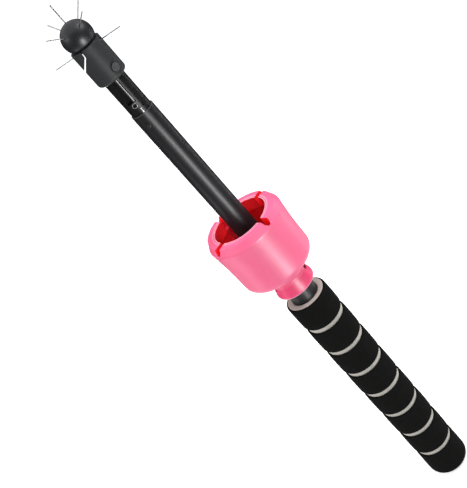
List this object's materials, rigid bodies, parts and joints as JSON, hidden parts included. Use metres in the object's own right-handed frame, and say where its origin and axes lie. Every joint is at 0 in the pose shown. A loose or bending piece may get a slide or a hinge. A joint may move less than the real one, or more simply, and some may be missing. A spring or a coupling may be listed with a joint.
{
  "type": "golf ball retriever",
  "caption": "Telescoping golf ball retriever: foam grip, sliding ball cup and a wired ball head that retracts into the handle.",
  "frame": {"origin": "centre of the butt's flat face", "axes": "+Z along the tool's axis, from the butt to the head; -Y is the front, where the cup's windows face left and right and the button is to the right"},
  "size_m": [0.0612, 0.0612, 0.4873],
  "materials": {
    "foam_black": "matt closed-cell foam",
    "foam_light": "matt closed-cell foam",
    "tube_black": "satin black",
    "cup_pink": "glossy moulded",
    "head_plastic": "satin moulded",
    "stem_plastic": "satin moulded",
    "inner_plastic": "matt moulded",
    "pad_rubber": "matt",
    "black_steel": "blackened",
    "spring_steel": "bright drawn wire"
  },
  "bodies": {
    "handle": {"handle_tube": "tube_black", "butt_cap": "inner_plastic", "stop_pad": "pad_rubber", "mouth_bush": "inner_plastic", "grip_core": "foam_light", "grip_band_1": "foam_black", "grip_band_2": "foam_black", "grip_band_3": "foam_black", "grip_band_4": "foam_black", "grip_band_5": "foam_black", "grip_band_6": "foam_black", "grip_band_7": "foam_black", "grip_band_8": "foam_black"},
    "shaft": {"shaft_tube": "tube_black", "guide_bush": "inner_plastic", "stem_rivet": "black_steel", "slotted_stem": "stem_plastic", "stem_screw": "black_steel", "housing": "head_plastic", "wire_jaw": "head_plastic", "ball_neck": "inner_plastic", "ball": "head_plastic", "button_spring": "spring_steel", "axial_wire": "spring_steel", "slant_wire_1": "spring_steel", "slant_wire_2": "spring_steel", "slant_wire_3": "spring_steel", "slant_wire_4": "spring_steel", "cross_wire": "spring_steel"},
    "cup": {"ball_cup": "cup_pink"},
    "button": {"head_button": "head_plastic"}
  },
  "joints": [
    {"name": "shaft_slide", "type": "slide", "parent": "handle", "child": "shaft", "axis": [0, 0, 1], "range_m": [-0.1667, 0], "deforming": ["cross_wire"]},
    {"name": "cup_slide", "type": "slide", "parent": "handle", "child": "cup", "axis": [0, 0, 1], "range_m": [0, 0.0323]},
    {"name": "button_press", "type": "slide", "parent": "shaft", "child": "button", "axis": [-0.4772, 0.8788, 0], "range_m": [0, 0.0015], "stiffness_N_per_m": 400, "springref_m": -0.002, "deforming": ["button_spring"]}
  ]
}
